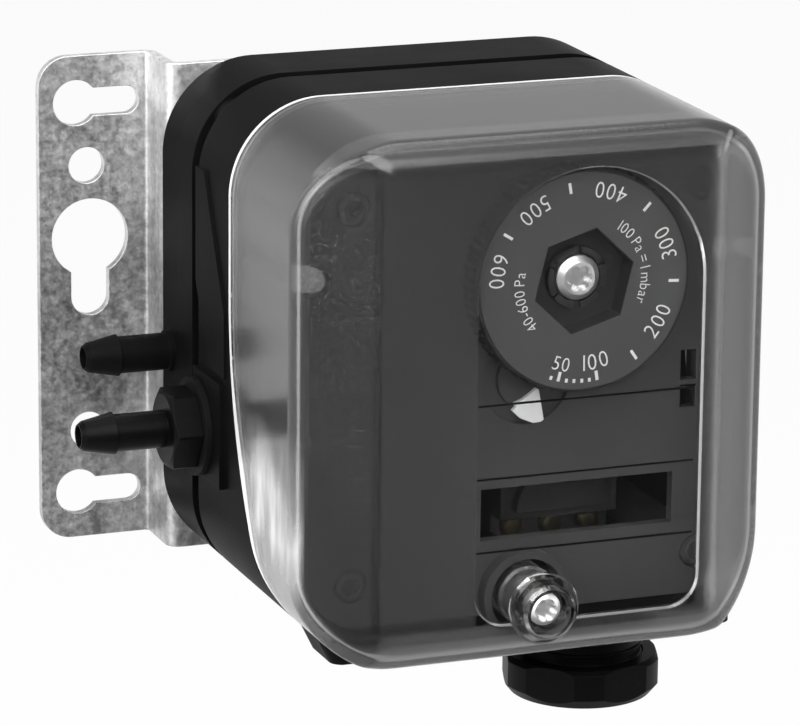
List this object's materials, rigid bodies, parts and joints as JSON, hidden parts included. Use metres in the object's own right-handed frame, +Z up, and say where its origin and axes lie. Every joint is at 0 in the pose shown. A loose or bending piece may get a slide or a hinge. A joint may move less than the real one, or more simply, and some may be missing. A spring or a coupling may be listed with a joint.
{
  "type": "differential pressure switch",
  "caption": "Air differential pressure switch on a joggled bracket, with a frosted hood, arched window, setting dial, two hose nipples and a cable gland.",
  "frame": {"origin": "on the wall plane behind the housing, on the housing's centre line at the bracket's mid height", "axes": "+X to the right seen from the front, +Y into the wall, +Z up"},
  "size_m": [0.0991, 0.0855, 0.0964],
  "materials": {
    "bracket": "hot-dip zinc, mottled",
    "screws": "zinc plated",
    "housing": "satin black, fine grain",
    "rubber": "matt black",
    "plate": "plain",
    "pin": "natural acetal",
    "fitting": "satin black",
    "guard": "dark grey, fine grain",
    "dial": "mid grey with white print",
    "steel": "ground",
    "arrow": "white",
    "brass": "turned",
    "button": "red",
    "terminals": "grey",
    "hood": "frosted, with a clear window"
  },
  "bodies": {
    "housing": {"mounting_bracket": "bracket", "bracket_screws": "screws", "rear_cover": "housing", "housing_screws": "screws", "diaphragm": "rubber", "diaphragm_housing": "housing", "switch_base": "housing", "housing_feet": "housing", "gland_body": "fitting", "lower_hose_nipple": "fitting", "nipple_washer": "rubber", "cover_seal": "rubber", "inner_cover": "guard", "guard_screws": "fitting", "pointer_arrow": "arrow", "range_spring": "steel", "lever_pin": "steel", "microswitch": "fitting", "terminal_block": "terminals", "terminal_screws": "brass", "gland_nut": "fitting", "gland_seal": "rubber"},
    "dial": {"setting_dial": "dial", "dial_spindle": "steel", "dial_ring": "fitting", "dial_screw": "screws"},
    "spring_nut": {"spring_seat": "brass"},
    "lever": {"switch_lever": "bracket"},
    "plunger": {"push_pin": "pin", "diaphragm_plate": "plate"},
    "button": {"switch_button": "button"},
    "hood": {"hood": "hood", "cover_screw": "screws"}
  },
  "joints": [
    {"name": "dial_turn", "type": "hinge", "parent": "housing", "child": "dial", "pos_m": [0.0064, -0.075, 0.017], "axis": [0, 1, 0], "range_deg": [0, 280]},
    {"name": "spring_nut_slide", "type": "slide", "parent": "housing", "child": "spring_nut", "axis": [0, 1, 0], "range_m": [0, 0.003], "deforming": ["range_spring"]},
    {"name": "plunger_slide", "type": "slide", "parent": "housing", "child": "plunger", "axis": [0, -1, 0], "range_m": [0, 0.0006]},
    {"name": "lever_swing", "type": "hinge", "parent": "housing", "child": "lever", "pos_m": [0, -0.04, 0.032], "axis": [-1, 0, 0], "range_deg": [0, 1.1]},
    {"name": "button_slide", "type": "slide", "parent": "housing", "child": "button", "axis": [0, -1, 0], "range_m": [0, 0.0009]},
    {"name": "hood_lift_off", "type": "slide", "parent": "housing", "child": "hood", "axis": [0, -1, 0], "range_m": [0, 0.06]}
  ],
  "couplings": [
    {"joint": "spring_nut_slide", "follows": "dial_turn", "m_per_rad": 0.0006},
    {"joint": "lever_swing", "follows": "plunger_slide", "rad_per_m": 31.25},
    {"joint": "button_slide", "follows": "plunger_slide", "ratio": 1.45}
  ]
}
